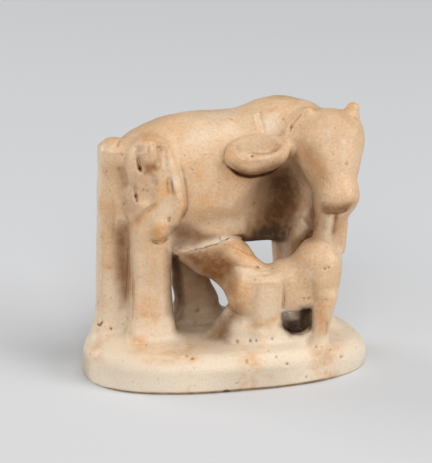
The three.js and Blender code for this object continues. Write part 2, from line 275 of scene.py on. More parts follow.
calfBody = {
    "rump": lobe((30.6, -14.3, 40.4), (9, 8.2, 10.4)),
    "torso": lobe((20.5, -11.5, 33), (13, 7.6, 9.6), (0, -24, -18)),
    "shoulder": lobe((7.5, -8.5, 30), (8.5, 8, 9.6), (0, 0, -18), 2.2),
    "head": limb((7, -7, 36, 6.6), (0.8, -4, 41.8, 7), (-8, -1, 41.8, 6.2), (-14, 0.5, 44, 4.4),
                 (-18.5, 1.5, 46, 2.4)),
    "crown": lobe((2.6, -3.4, 43), (5.6, 6, 5.2)),
    "throat": limb((-6, -1.5, 40, 3.8), (2.4, -5, 32, 4.2)),
    "shoulderBlade": lobe((3.6, -11, 32.5), (4.4, 4.6, 7.4)),
    "belly": lobe((23.4, -13.4, 28.4), (8.4, 6, 4), (0, -4, -18), 3),
}
calfLimbs = {
    "farFore": limb((8, -4, 26, 5), (3, -4, 20, 4.4)),
    "thigh": lobe((31.6, -17.6, 37.5), (6.7, 5.6, 11)),
    "shank": limb((32, -19.4, 30, 4.6), (29.9, -21.6, 20, 3.2), (29.2, -22, 12, 3.5)),
    "farHind": limb((31.4, -11, 36, 6.4), (31, -10.5, 25, 3.8), (29.5, -10.5, 12, 4.2)),
}
calfArm = post([(12, 11.8, -12.6, 5.6, 6), (24, 11.7, -12.8, 5.2, 5.4), (36, 11.4, -12.2, 5.2, 5.2),
                (38, 11.2, -11.4, 4.8, 4.8)], 3.4)
calfKnees = {
    "knee": lobe((8, -11, 16.4), (11, 5.6, 6.4), (0, 0, -17), 2.6),
    "hoof": limb((13, -14, 15.4, 3.6), (18, -16.6, 13.4, 2.8)),
    "farKnee": limb((4.4, -5, 22, 4.4), (-0.6, -4.8, 15.4, 4.8), (-3.6, -4.4, 11, 4.6)),
}
calfNeckTip = limb((2, -8.6, 42, 3.4), (7, -10.2, 40.2, 2.3), (11, -11.2, 38.6, 1))
calfTrim = {
    "windowSill": limb((16.6, -17, 17, 1.2), (19.6, -18.5, 14.8, 1.4), (23.4, -20, 14.6, 1.4),
                       (26.4, -21, 16.6, 1.2)),
    "tail": limb((38.6, -14.4, 46, 2.4), (39, -15, 52, 2.2), (38.6, -15.6, 60, 2.8)),
    "tongue": limb((34.5, -15.6, 60, 5), (33.4, -14.4, 50, 4.6)),
}

# fillets where the masses meet, in mm
cowFillets = {
    "trunk": 6, "neckFold": 3, "legs": 5, "bellyGroove": 7, "neckHollow": 8, "dewlap": 5, "thigh": 4,
    "haunch": 1.2, "foreKnob": 4, "bellyEdge": 2, "bellyLip": 3, "tail": 3, "web": 1, "webHollow": 0.8,
    "legEdge": 1, "head": 5, "horns": 2, "headToNeck": 3.4, "nape": 2, "ear": 2, "earScoop": 1.6,
    "earToNeck": 1, "farEar": 2,
}
calfFillets = {"body": 3, "knees": 4, "kneesToBody": 2, "limbs": 1.2, "arm": 2.2, "neckTip": 1.4, "trim": 1}
groupFillets = {"calf": 1.2, "base": 3.5}


def carveCow():
    cow = rawBlock()
    join(cow, cowFillets["trunk"], *cowTrunk.values())
    cut(cow, cowFillets["neckFold"], neckFold)
    join(cow, cowFillets["legs"], *cowLegs.values())
    cut(cow, cowFillets["bellyGroove"], bellyGroove)
    cut(cow, cowFillets["neckHollow"], neckHollow)
    join(cow, cowFillets["dewlap"], dewlap)
    join(cow, cowFillets["thigh"], haunchThigh)
    join(cow, cowFillets["haunch"], *haunchMasses.values())
    cut(cow, cowFillets["haunch"], haunchPanel)
    join(cow, cowFillets["foreKnob"], foreKnob)
    join(cow, cowFillets["bellyEdge"], bellyEdge)
    join(cow, cowFillets["bellyLip"], bellyLip)
    join(cow, cowFillets["tail"], *cowTail.values())
    web = rawBlock()
    join(web, cowFillets["web"], tailWeb)
    cut(web, cowFillets["webHollow"], webHollow, webEdge)
    cow = flow(cow, web, cowFillets["web"])
    join(cow, cowFillets["legEdge"], cowLegs["rightHind"])  # its edge is sharp again beside the web
    head = rawBlock()
    join(head, cowFillets["head"], *cowHead.values())
    join(head, cowFillets["horns"], *hornStubs.values())
    cow = flow(cow, head, cowFillets["headToNeck"])
    join(cow, cowFillets["nape"], nape)
    ear = rawBlock()
    join(ear, cowFillets["ear"], *cowEar.values())
    cut(ear, cowFillets["earScoop"], earScoop)
    cow = flow(cow, ear, cowFillets["earToNeck"])
    join(cow, cowFillets["farEar"], farEar)
    return cow


def carveCalf():
    calf = rawBlock()
    join(calf, calfFillets["body"], *calfBody.values())
    kneeling = rawBlock()
    join(kneeling, calfFillets["knees"], *calfKnees.values())
    calf = flow(calf, kneeling, calfFillets["kneesToBody"])
    join(calf, calfFillets["limbs"], *calfLimbs.values())
    join(calf, calfFillets["arm"], calfArm)
    join(calf, calfFillets["neckTip"], calfNeckTip)
    join(calf, calfFillets["trim"], *calfTrim.values())
    return calf


stone = flow(flow(carveCow(), carveCalf(), groupFillets["calf"]), carveBase(), groupFillets["base"])
print("forms carved")

stone = np.maximum(stone, -alongZ).astype(np.float32)  # sawn flat underneath


# blend of the values held at the eight corners round each point
def blendCorners(corner, t, held):
    total = np.zeros(len(t))
    for dx, dy, dz in np.ndindex(2, 2, 2):
        share = ((t[:, 0] if dx else 1 - t[:, 0]) * (t[:, 1] if dy else 1 - t[:, 1])
                 * (t[:, 2] if dz else 1 - t[:, 2]))
        total += share * held(corner[:, 0] + dx, corner[:, 1] + dy, corner[:, 2] + dz)
    return total


grainCells = 32  # cells a side before the noise repeats


# value noise on a wrapped lattice, smooth between its corners, from -1 to 1
def grain(points, size, seed):
    table = np.random.default_rng(seed).random((grainCells, grainCells, grainCells)) * 2 - 1
    scaled = points / np.array(size)
    corner = np.floor(scaled).astype(int)
    t = scaled - corner

    def held(i, j, k):
        return table[i % grainCells, j % grainCells, k % grainCells]

    return blendCorners(corner, t * t * (3 - 2 * t), held)


def fieldAt(points):
    spot = (points - np.array(lattice["low"])) / lattice["step"]
    spot = np.clip(spot, 0, np.array(latticeShape) - 1.001)  # a corner lies on each side of every spot
    corner = spot.astype(int)

    def held(i, j, k):
        return stone[i, j, k]

    return blendCorners(corner, spot - corner, held)


def skinOf(block):
    cells = openvdb.FloatGrid(lattice["far"])
    cells.copyFromArray(block)
    points, triangles, quads = cells.convertToPolygons(0.0, 0.0)
    points = points * lattice["step"] + np.array(lattice["low"])
    mesh = bpy.data.meshes.new("cowAndCalfStone")
    faces = [tuple(face) for face in triangles.tolist()] + [tuple(face) for face in quads.tolist()]
    mesh.from_pydata((points / perMetre).tolist(), [], faces)
    mesh.update()
    return mesh


def pointsOf(mesh):
    flat = np.empty(len(mesh.vertices) * 3)
    mesh.vertices.foreach_get("co", flat)
    return flat.reshape(-1, 3) * perMetre


def normalsOf(mesh):
    flat = np.empty(len(mesh.vertices) * 3)
    mesh.vertex_normals.foreach_get("vector", flat)
    return flat.reshape(-1, 3)


def movePoints(mesh, points):
    mesh.vertices.foreach_set("co", (points / perMetre).ravel())
    mesh.update()


# lines of sight from the skin back to the camera: least cosine to the skin, then lengths in mm
sight = {"facing": 0.03, "stride": 1.5, "reach": 60, "lift": 0.4, "inside": -0.15}


# points of the skin that the photograph's camera sees, with their pixels and depths
def seenFromPhoto(points, normals):
    seen = normals @ viewBack > sight["facing"]
    for step in np.arange(sight["stride"], sight["reach"], sight["stride"]):
        ahead = points + viewBack * step + normals * sight["lift"]
        spot = np.rint((ahead - np.array(lattice["low"])) / lattice["step"]).astype(int)
        inside = np.all((spot >= 0) & (spot < np.array(latticeShape)), axis=1)
        spot = np.where(inside[:, None], spot, 0)
        seen &= ~(inside & (stone[spot[:, 0], spot[:, 1], spot[:, 2]] < sight["inside"]))
    pixels, depth = toPixels(points)
    return seen, pixels, depth


# a path eased into a curve through its points
def eased(path, steps=5):
    path = np.array(path, dtype=float)
    if len(path) < 3:
        return path
    ends = np.vstack((2 * path[0] - path[1], path, 2 * path[-1] - path[-2]))
    curve = []
    for a, b, c, d in zip(ends, ends[1:], ends[2:], ends[3:]):
        for t in np.arange(steps) / steps:
            curve.append(0.5 * (2 * b + (c - a) * t + (2 * a - 5 * b + 4 * c - d) * t ** 2
                                + (3 * b - a - 3 * c + d) * t ** 3))
    return np.vstack((curve, path[-1]))


# a stroke thins over this share of its length at both ends, and stays on skin within the gate in mm
strokeEnds = {"length": 0.2, "least": 0.25, "gate": 5}


# how much of a stroke falls on each point: the path is in pixels, and the skin it was drawn on takes it
def strokeShare(view, path, width):
    seen, pixels, depth = view
    path = eased(path)
    low = path.min(0) - 3 * width
    high = path.max(0) + 3 * width
    near = np.flatnonzero(seen & np.all((pixels > low) & (pixels < high), axis=1))
    share = np.zeros(len(pixels))
    if not len(near):
        return share
    spots = pixels[near]
    stationDepth = [depth[near][np.argmin(((spots - station) ** 2).sum(1))] for station in path]
    gap = np.full(len(near), 1e9)
    wanted = np.zeros(len(near))
    along = np.full(len(near), 0.5)
    if len(path) == 1:
        gap = np.sqrt(((spots - path[0]) ** 2).sum(1))
        wanted[:] = stationDepth[0]
    for i in range(len(path) - 1):
        run = path[i + 1] - path[i]
        t = np.clip((spots - path[i]) @ run / (run @ run), 0, 1)
        away = np.sqrt(((spots - path[i] - t[:, None] * run) ** 2).sum(1))
        closer = away < gap
        gap = np.where(closer, away, gap)
        wanted = np.where(closer, stationDepth[i] * (1 - t) + stationDepth[i + 1] * t, wanted)
        along = np.where(closer, (i + t) / (len(path) - 1), along)
    taper = np.clip(np.minimum(along, 1 - along) / strokeEnds["length"], strokeEnds["least"], 1)
    onSkin = np.abs(depth[near] - wanted) < strokeEnds["gate"]
    share[near] = taper * np.exp(-(gap / (width * taper ** 0.5)) ** 2) * onSkin
    return share


# how much of a patch falls on each point: inside an outline of pixels, with soft sides
def patchShare(view, outline, soft, depthGate):
    seen, pixels, depth = view
    outline = np.array(outline, dtype=float)
    low = outline.min(0) - 2 * soft
    high = outline.max(0) + 2 * soft
    near = np.flatnonzero(seen & np.all((pixels > low) & (pixels < high), axis=1))
    share = np.zeros(len(pixels))
    if not len(near):
        return share
    spots = pixels[near]
    gap = np.full(len(near), 1e9)
    inside = np.zeros(len(near), dtype=bool)
    for start, end in zip(outline, np.roll(outline, -1, axis=0)):
        run = end - start
        t = np.clip((spots - start) @ run / (run @ run), 0, 1)
        gap = np.minimum(gap, np.sqrt(((spots - start - t[:, None] * run) ** 2).sum(1)))
        crosses = (start[1] > spots[:, 1]) != (end[1] > spots[:, 1])
        level = np.where(run[1] == 0, 1e-9, run[1])
        inside ^= crosses & (spots[:, 0] < start[0] + run[0] * (spots[:, 1] - start[1]) / level)
    signed = np.where(inside, gap, -gap)
    level = np.clip(signed / soft * 0.5 + 0.5, 0, 1)
    middle = np.median(depth[near][signed > 0]) if np.any(signed > 0) else depth[near].mean()
    share[near] = level * level * (3 - 2 * level) * (np.abs(depth[near] - middle) < depthGate)
    return share


# grooves and ridges seen on the front: path in pixels, half width in pixels, height in mm, dirt and painted
# shade held
frontStrokes = {
    "notchByBoss": (((137, 156), (138, 163), (140.5, 171)), 1.8, -1.1, 0.1),
    "notchFoot": (((138.5, 167), (142, 173)), 2.2, -1.1, 0.22),
    "underBoss": (((144, 168), (150, 170.5), (157, 167.5)), 3.4, -1.0, 0.1),
    "ledge": (((142, 174), (149, 175), (154.5, 176.5)), 2.8, -0.9, 0.1),
    "ledgeDrop": (((154.5, 175), (154, 186)), 3.0, -0.9, 0.1),
    "slit": (((134.5, 183), (134.5, 192), (135.5, 198)), 1.8, -0.8, 0.12),
    "slitEnd": (((135.5, 194), (136.8, 203)), 1.9, -1.2, 0.26),
    "foldGap": (((165, 144), (166, 158), (167, 172)), 2.9, -0.9, 0.08),
    "bossGap": (((159, 142), (161, 155), (159.5, 168)), 2.9, -1.0, 0.1),
    "bossLeft": (((141.5, 144), (140.5, 154)), 2.4, -0.7, 0.12),
    "bossFold": (((147.5, 144), (148.5, 158)), 1.6, -0.35, 0.12),
    "bossLight": (((151, 146), (151.5, 160)), 1.8, 0.5, -0.2),
    "diagonalCrease": (((130, 225.5), (140, 217), (150, 210), (158, 203)), 3.4, -1.2, 0.14),
    "rumpCrease": (((119, 165), (122.5, 176), (125, 190)), 4.2, -0.8, 0.1),
    "legEdgeLine": (((127.5, 232), (127.5, 260), (126.5, 290), (125, 310)), 1.4, -0.6, 0.25),
    "edgeLine": (((178, 152), (183, 175), (186, 195), (186.5, 207), (182, 217),
                  (174, 229)), 2.2, -0.6, 0.13),
    "innerEdge": (((170.5, 175), (169.5, 186), (172, 198)), 3.0, -0.6, 0.02),
    "edgeLight": (((173, 178), (176, 190), (179, 203)), 2.2, 0.55, -0.25),
    "stifleFoot": (((150, 240), (157, 243.5), (163, 242.5), (169, 236)), 1.8, -0.9, 0.2),
    "tailKnobGap": (((116, 148), (119, 143), (121.5, 139)), 1.6, -0.5, 0.2),
    "tailNick": (((97, 323), (100, 325.5), (103, 320)), 0.9, -0.8, 0.8),
    # the ear's undercut carries a painted shadow under its rim
    "earUndercut": (((229, 166), (238, 173), (250, 176.5), (263, 175), (271, 172),
                     (282, 166)), 1.4, -1.1, 1.0),
    "earRim": (((245, 152), (255, 153.5), (265, 153.5), (274, 151), (285, 143)), 1.6, -0.5, 0.2),
    "earRoll": (((236, 160), (255, 160), (272, 157), (284, 150)), 3.0, 0.45, -0.1),
    "neckEdge": (((253.5, 110), (255.5, 121), (258.5, 131)), 1.8, 0.45, 0),
    "neckFacet": (((260, 111), (261, 121), (264.5, 131)), 2.6, -0.7, 0.05),
    "browLine": (((304, 111), (298, 118), (291.5, 127), (290.5, 136)), 1.6, -0.5, 0.2),
    "tongueGroove": (((337, 211), (335, 224), (332, 238)), 2.6, -0.8, 0.2),
    "tongueLump": (((326, 216), (327, 228)), 3.6, 0.7, -0.1),
    "lipCrust": (((174, 248.5), (185, 250.5), (199, 247), (213, 242), (226, 239),
                  (239, 239.5)), 2.8, 1.1, -0.4),
    # the stroke under the muzzle paints the shade beneath it
    "underMuzzle": (((319, 213), (331, 213.5), (342, 212.5), (350, 207)), 1.8, -1.1, 0.35),
    "knobRidge": (((299, 215), (305, 224), (312, 231)), 4.0, 0.5, 0),
    "knobGroove": (((293, 222), (299, 233), (303, 241)), 2.4, -0.35, 0.05),
    "tongueRoot": (((317, 218), (315, 228), (308, 237)), 1.8, -0.5, 0.2),
    "kneeFold": (((288.5, 238), (289, 231), (291, 226)), 1.3, -0.6, 0.35),
    "calfNeck": (((229, 265.5), (244, 267), (258, 268), (270, 270)), 1.7, -0.45, 0.12),
    "calfShoulderTop": (((231, 270), (246, 271), (274, 273.5)), 1.5, 0.15, -0.3),
    "calfArmTop": (((256, 284), (268, 282), (281, 283)), 2.0, 0.25, 0),
    "legFacetLeft": (((139, 246), (138, 285), (136, 328)), 3.0, 0.3, 0),
    "legFacetRight": (((159, 250), (161, 285), (163, 326)), 3.0, 0.3, 0),
    "calfArmFront": (((257, 285), (254.5, 298), (248, 308)), 2.0, -0.5, 0.05),
    "calfArmBack": (((283.5, 283), (283.5, 300), (283, 315)), 1.5, -0.8, 0.1),
    "calfCannon": (((247, 327), (258, 328), (267, 326), (276, 319)), 4.4, -0.6, 0.04),
    "calfHeadEdge": (((221, 243), (237, 252), (252, 258), (265, 265)), 2.2, 0.6, -0.15),
    "calfThighEdge": (((311, 276), (313.5, 290), (314, 306)), 2.0, -0.5, 0.1),
    "calfHockLine": (((327.5, 320), (326, 338)), 1.5, -0.4, 0.15),
    "windowRim": (((282, 324), (290, 330.5), (301, 331), (309, 325)), 1.3, -0.6, 0.5),
    # these two paint the dark contact shadow along the base's foot
    "baseFoot": (((223, 391.5), (230, 391)), 1.5, -0.6, 0.7),
    "baseLine": (((90, 377), (100, 385.5), (112, 389), (136, 392.5), (172, 393.5), (208, 392.5),
                  (244, 389.5), (280, 386.5), (316, 381), (340, 375), (352, 371)), 1.3, -0.15, 0.4),
}
# pits and pecks: pixel, half width in pixels, depth in mm
frontPits = ((252, 156.5, 1.3, 0.9), (347, 164, 1.6, 0.5),
             (258, 267, 1.4, 0.5), (325, 269, 1.6, 0.6), (329, 267.5, 1.3, 0.5), (111, 329, 1.2, 0.7),
             (237, 341.5, 1.3, 0.5), (256, 341, 1.2, 0.5), (272, 339, 1.4, 0.5), (326, 300, 1.2, 0.4),
             (146, 345, 1.2, 0.5), (124, 204, 1.5, 0.5), (198, 311, 2.0, 0.5), (122, 155, 1.3, 0.4),
             (325, 251, 1.0, 0.4), (248, 256, 1.1, 0.4), (191, 359, 1.5, 0.4), (328, 217, 1.4, 0.4),
             (279, 188, 1.3, 0.4), (187, 356, 1.4, 0.5), (193, 358.5, 1.6, 0.5), (287, 364, 1.6, 0.6),
             (276, 357, 1.2, 0.5), (341, 357, 1.5, 0.5), (330, 350, 1.3, 0.5), (268, 351, 1.2, 0.4),
             (291, 127, 1.3, 0.5), (283, 119, 1.3, 0.5), (250, 341, 1.2, 0.5), (316, 347, 1.2, 0.5))


# patches of colour on the front: kind, strength, soft side in pixels, depth gate in mm, outline in pixels;
# stain is a brown glaze of patina and painted shade, soot is painted shade, rust an amber stain that in
# places paints shade under forms, pale a whitish wear that also paints highlights and light, clean lifts
# glaze and painted shade to paint light
frontPatches = {
    # painted shade in the hollow under the neck and ear, beside the dewlap and knob and under the belly,
    # with a brown glaze of patina over it
    "neckCavity": ("paintedShade", 0.78, 13, 40, ((268, 172), (288, 165), (296, 182), (297, 206), (288, 224),
                                          (286, 238), (254, 238), (252, 232), (262, 217), (268, 200))),
    "cavityShadeAndPatina": ("stainAndShade", 1.0, 14, 40, ((267, 170), (290, 163), (300, 182), (302, 208), (290, 226),
                                           (287, 238), (250, 238), (249, 230), (258, 214), (265, 198))),
    "cavitySide": ("paintedShade", 0.16, 18, 40, ((246, 180), (290, 165), (288, 240), (226, 240), (236, 225))),
    "dewlapLeft": ("paintedShade", 0.5, 8, 30, ((284, 163), (300, 168), (305, 190), (300, 212), (290, 226),
                                        (284, 215))),
    "dewlapShade": ("paintedShade", 0.26, 7, 30, ((288, 163), (306, 170), (321, 186), (322, 214), (312, 221),
                                          (294, 206))),
    "knobSide": ("paintedShade", 0.5, 5, 30, ((286, 226), (296, 212), (299, 226), (292, 245))),
    "cavityLow": ("paintedShade", 0.97, 6, 40, ((252, 229), (272, 220), (289, 224), (288, 243), (248, 243))),
    "bellyShade": ("paintedShade", 0.24, 16, 14, ((176, 222), (210, 218), (246, 212), (247, 232), (215, 234),
                                          (195, 242), (176, 244))),
    "bellyCorner": ("paintedShade", 0.62, 8, 16, ((173, 226), (186, 223), (204, 231), (218, 236), (198, 243),
                                          (182, 247), (173, 247))),
    # painted shade under the belly on the calf's head and throat, part brown stain
    "calfHeadSide": ("stainAndShade", 1.0, 8, 16, ((180, 253), (200, 249), (222, 250), (236, 262), (233, 274),
                                           (222, 285), (206, 278), (192, 266))),
    "calfHeadAmber": ("rustAndShade", 0.5, 9, 16, ((186, 254), (214, 249), (234, 262), (228, 284), (206, 276))),
    "calfHeadShade": ("paintedShade", 0.1, 9, 16, ((182, 254), (214, 250), (234, 263), (226, 284), (204, 277))),
    "calfThroat": ("stainAndShade", 0.55, 6, 12, ((220, 262), (238, 268), (236, 300), (226, 292))),
    # painted shade on the far knee, the left hind leg, the base behind it and in the window under the calf
    "farKneeFoot": ("paintedShade", 0.4, 5, 20, ((226, 322), (232, 318), (228, 343), (214, 342))),
    "farKneeSide": ("stainAndShade", 0.95, 12, 20, ((236, 305), (241, 314), (229, 326), (226, 343), (202, 341),
                                            (220, 322))),
    "leftHindLeg": ("paintedShade", 0.34, 7, 30, ((168, 255), (192, 252), (216, 275), (228, 322), (212, 334),
                                          (176, 330))),
    "legShadeAndPatina": ("stainAndShade", 0.45, 7, 30, ((168, 252), (200, 254), (222, 300), (226, 322), (212, 334),
                                        (176, 330))),
    "legShadow": ("paintedShade", 0.76, 7, 30, ((168, 252), (183, 262), (186, 298), (176, 318), (168, 312))),
    "baseBehind": ("paintedShade", 0.26, 6, 40, ((174, 316), (226, 318), (214, 335), (180, 333))),
    "windowDark": ("paintedShade", 0.95, 4, 40, ((300, 307), (312, 306), (313, 328), (290, 336), (280, 326),
                                         (283, 319), (299, 318))),
    # painted shade under and beside the hip boss and its folds, and in the valley by the tail, part brown
    # patina
    "bossShade": ("stainAndShade", 0.5, 4, 8, ((143, 163), (158, 162), (158, 171), (145, 174))),
    "bossSide": ("stainAndShade", 0.45, 3, 8, ((136, 146), (141, 146), (143, 164), (138, 168))),
    "foldShade": ("stainAndShade", 0.35, 3, 8, ((158, 142), (162, 142), (162, 168), (158, 170))),
    "foldShadeRight": ("stainAndShade", 0.3, 3, 8, ((165, 142), (168.5, 145), (169, 172), (165.5, 172))),
    "haunchValley": ("stainAndShade", 0.35, 5, 12, ((119, 168), (127, 172), (131, 214), (125, 220), (122, 195))),
    # painted shade with brown patina in the belly's corner by the leg
    "cornerShadeAndPatina": ("stainAndShade", 0.7, 8, 16, ((172, 228), (186, 225), (202, 232), (214, 237), (198, 243),
                                          (173, 247))),
    "sunkPanel": ("stainAndShade", 0.25, 7, 8, ((126, 174), (150, 176), (154, 200), (132, 218), (125, 205))),
    # painted shade under the ear's rim, part brown stain
    "earUnderside": ("stainAndShade", 0.8, 4, 8, ((230, 163), (250, 171), (280, 160), (284, 166), (263, 178),
                                          (240, 176))),
    "earHollow": ("stainAndShade", 0.5, 5, 8, ((270, 139), (286, 140), (284, 150), (272, 152))),
    "earTop": ("stainAndShade", 0.28, 5, 8, ((236, 148), (250, 138), (268, 134), (286, 141), (284, 149),
                                     (262, 153), (244, 153))),
    # painted shade on the knob, over the head, on its left side and under the muzzle
    "knobShade": ("paintedShade", 0.26, 6, 30, ((292, 210), (314, 220), (307, 240), (290, 246))),
    "headShade": ("stainAndShade", 0.15, 14, 16, ((300, 112), (350, 112), (360, 130), (350, 175), (322, 180),
                                          (296, 150))),
    "faceLeft": ("stainAndShade", 0.42, 9, 12, ((300, 140), (322, 146), (332, 184), (318, 182), (300, 160))),
    "chin": ("stainAndShade", 0.9, 4, 10, ((320, 203), (336, 205), (354, 202), (347, 211), (334, 213),
                                   (321, 213))),
    "tongueSide": ("stainAndShade", 0.4, 5, 10, ((315, 212), (326, 212), (323, 240), (306, 242))),
    # painted shade in the recess between tail and leg, beside the tail's root and on the haunch
    "tailRecess": ("stainAndShade", 1.0, 8, 12, ((115, 229), (128, 223), (129, 290), (122, 306), (116, 270))),
    "tailRecessDeep": ("paintedShade", 0.12, 6, 12, ((118, 232), (129, 228), (129, 275), (122, 280))),
    "tailTriangle": ("stainAndShade", 0.65, 7, 12, ((117, 168), (122, 168), (127, 186), (122, 190))),
    "haunchShade": ("stainAndShade", 0.2, 6, 8, ((127, 176), (152, 176), (153, 200), (132, 222), (127, 205))),
    # the amber under the calf's folded cannon and on its chest's edge is painted shade
    "underCannon": ("rustAndShade", 0.6, 5, 8, ((246, 326), (262, 322), (278, 316), (277, 324), (262, 331),
                                        (250, 331))),
    "chestOrange": ("rustAndShade", 0.6, 8, 12, ((230, 274), (250, 280), (246, 308), (236, 308), (228, 290))),
    "thighAmber": ("rustAndShade", 0.6, 6, 10, ((170, 190), (182, 190), (184, 212), (172, 222))),
    "roughPatch": ("rustAndShade", 1.0, 5, 8, ((157, 182), (168, 180), (170, 196), (160, 200))),
    "haunchRim": ("rustAndShade", 0.9, 4, 8, ((141, 134), (157, 132), (159, 139), (143, 142))),
    # the amber under the hip boss and under the stifle is painted shade
    "underBoss": ("rustAndShade", 0.9, 4, 8, ((143, 164), (158, 163), (157, 171), (145, 173))),
    "stifleAmber": ("rustAndShade", 0.9, 6, 10, ((150, 226), (167, 224), (166, 243), (152, 243))),
    "legOrange": ("rustAndShade", 0.35, 8, 10, ((142, 252), (161, 248), (164, 276), (150, 286))),
    "legOrangeLow": ("rustAndShade", 0.7, 10, 10, ((138, 298), (155, 294), (153, 326), (139, 322))),
    "flankOrange": ("rustAndShade", 0.5, 18, 10, ((178, 195), (215, 180), (242, 200), (215, 225), (180, 222))),
    "diagonalBand": ("rustAndShade", 0.9, 4, 8, ((130, 226), (157, 200), (160, 205), (136, 228))),
    "rightHorn": ("rustAndShade", 0.5, 4, 8, ((342, 103), (356, 101), (356, 110), (345, 112))),
    "leftHorn": ("rustAndShade", 0.4, 4, 8, ((302, 106), (316, 103), (317, 112), (303, 115))),
    "headSide": ("rustAndShade", 0.5, 10, 12, ((298, 145), (328, 155), (334, 186), (316, 180))),
    "calfNeckTop": ("rustAndShade", 0.6, 6, 10, ((224, 240), (246, 246), (268, 264), (236, 262))),
    "baseSpotTail": ("rustAndShade", 0.8, 6, 12, ((131, 335), (146, 337), (145, 355), (132, 352))),
    "baseSpotMiddle": ("rustAndShade", 0.7, 7, 12, ((175, 345), (201, 346), (198, 360), (178, 361))),
    "backOrange": ("rustAndShade", 0.35, 10, 20, ((158, 124), (176, 116), (200, 118), (190, 132), (166, 136))),
    "humpOrange": ("rustAndShade", 0.3, 9, 20, ((268, 108), (290, 104), (296, 120), (280, 130))),
    "bodyBand": ("rustAndShade", 0.6, 9, 12, ((220, 146), (234, 148), (250, 180), (244, 196), (226, 182))),
    "flankSpot": ("rustAndShade", 0.35, 9, 10, ((184, 162), (205, 158), (208, 178), (190, 190))),
    "tongueStreak": ("stainAndShade", 0.45, 4, 10, ((322, 214), (328, 213), (326, 230), (318, 240))),
    "tongueRight": ("rustAndShade", 0.5, 4, 10, ((336, 213), (346, 212), (344, 232), (338, 236))),
    "hockShade": ("stainAndShade", 0.2, 8, 10, ((314, 290), (330, 290), (328, 330), (316, 332))),
    "hockRust": ("rustAndShade", 0.8, 8, 10, ((318, 300), (330, 298), (326, 335), (318, 338))),
    "basePeach": ("rustAndShade", 0.5, 9, 14, ((138, 344), (180, 342), (184, 362), (150, 366))),
    "basePeachRight": ("rustAndShade", 0.6, 9, 14, ((310, 344), (340, 342), (338, 376), (316, 378))),
    "basePeachLeft": ("rustAndShade", 0.6, 6, 14, ((88, 346), (100, 346), (104, 360), (92, 360))),
    "basePeachMiddle": ("rustAndShade", 0.7, 7, 14, ((240, 355), (262, 353), (260, 366), (242, 367))),
    "baseSpotHead": ("rustAndShade", 0.9, 5, 12, ((324, 364), (335, 362), (334, 380), (326, 380))),
    # painted light: these lift the shade and lighten the lip, the base top, the far foreleg and the floor
    # seen through the window under the calf, and give the knob's top a painted highlight
    "lipClean": ("cleanAndLit", 0.8, 3, 16, ((174, 249), (200, 246), (226, 238), (241, 238), (240, 243),
                                       (214, 246), (190, 253), (176, 253))),
    "baseTopLit": ("cleanAndLit", 0.8, 5, 30, ((170, 341), (222, 342), (232, 352), (170, 352))),
    "farLegLit": ("cleanAndLit", 1.0, 4, 40, ((270, 243), (287, 243), (290, 252), (274, 267))),
    "windowLit": ("cleanAndLit", 1.0, 3, 60, ((281, 310), (300, 309), (299, 319), (283, 320))),
    "knobTop": ("pale", 0.4, 5, 20, ((297, 212), (312, 221), (304, 235), (295, 228))),
    "farLeg": ("rustAndShade", 0.35, 4, 30, ((270, 243), (286, 245), (289, 252), (274, 265))),
    "windowFloor": ("pale", 1.0, 3, 40, ((281, 310), (300, 309), (299, 319), (283, 320))),
    "tongueLight": ("pale", 0.3, 4, 10, ((322, 215), (333, 215), (334, 227), (329, 239), (319, 240))),
    "tongueDark": ("stainAndShade", 0.5, 3, 10, ((334, 214), (338, 214), (340, 228), (334, 240), (331, 236))),
    "neckFacet": ("pale", 0.55, 5, 14, ((258, 113), (278, 112), (284, 126), (276, 135), (263, 133))),
    "whiteKnee": ("pale", 0.8, 12, 10, ((228, 318), (250, 331), (280, 330), (287, 341), (228, 343))),
    # painted highlight on the calf's rump
    "rumpHighlight": ("pale", 0.5, 10, 10, ((320, 244), (338, 245), (340, 262), (326, 263))),
    "whiteBack": ("pale", 0.35, 20, 20, ((180, 112), (240, 104), (264, 118), (200, 142))),
    # painted highlight along the thigh's edge ridge, partly whitish wear
    "whiteStrip": ("pale", 0.6, 4, 8, ((169, 176), (176, 176), (178, 192), (171, 191))),
    "whiteArm": ("pale", 0.35, 8, 8, ((254, 282), (282, 281), (282, 320), (258, 318))),
    "whiteLeg": ("pale", 0.3, 9, 12, ((134, 250), (164, 248), (166, 304), (134, 304))),
    "whiteFoot": ("pale", 0.5, 10, 12, ((108, 280), (126, 285), (128, 330), (100, 332))),
}
# painted highlights on lit edges and rims, and worn whitish edges: path in pixels, half width in pixels,
# strength
highlightAndWearLines = {
    "bellyLip": (((175, 248.5), (188, 250), (200, 247), (213, 242), (226, 239), (240, 239)), 3.2, 1.0),
    "legEdge": (((169, 230), (169.5, 245), (168.5, 262)), 2.2, 0.6),
    "shoulderTop": (((231, 270), (246, 271), (274, 273.5)), 2.2, 0.35),
    "thighEdge": (((173, 178), (176, 190), (179, 203)), 2.0, 0.3),
    "glintLeft": (((307.5, 139), (309.5, 139.5)), 1.3, 0.9),
    "glintRight": (((342, 141), (346, 143.5)), 2.0, 0.8),
    "neckCorner": (((255, 112), (256, 122)), 1.6, 0.6),
    "tailSide": (((100, 150), (97, 200), (97, 260), (96, 318)), 5.0, 0.55),
    "sill": (((283, 328), (290, 334), (301, 334.5), (309, 329)), 1.2, 0.7),
}

strokeGrain = {"share": 0.45, "size": (2.2, 2.2, 2.2), "seed": 11}  # strokes are uneven in depth
dirtAndShadeHeld = {"strokeWidth": 0.8, "pit": 0.55}

stoneMesh = skinOf(stone)
group = bpy.data.objects.new("cowAndCalfGroup", stoneMesh)
bpy.context.scene.collection.objects.link(group)
print("skin of", len(stoneMesh.vertices), "points")


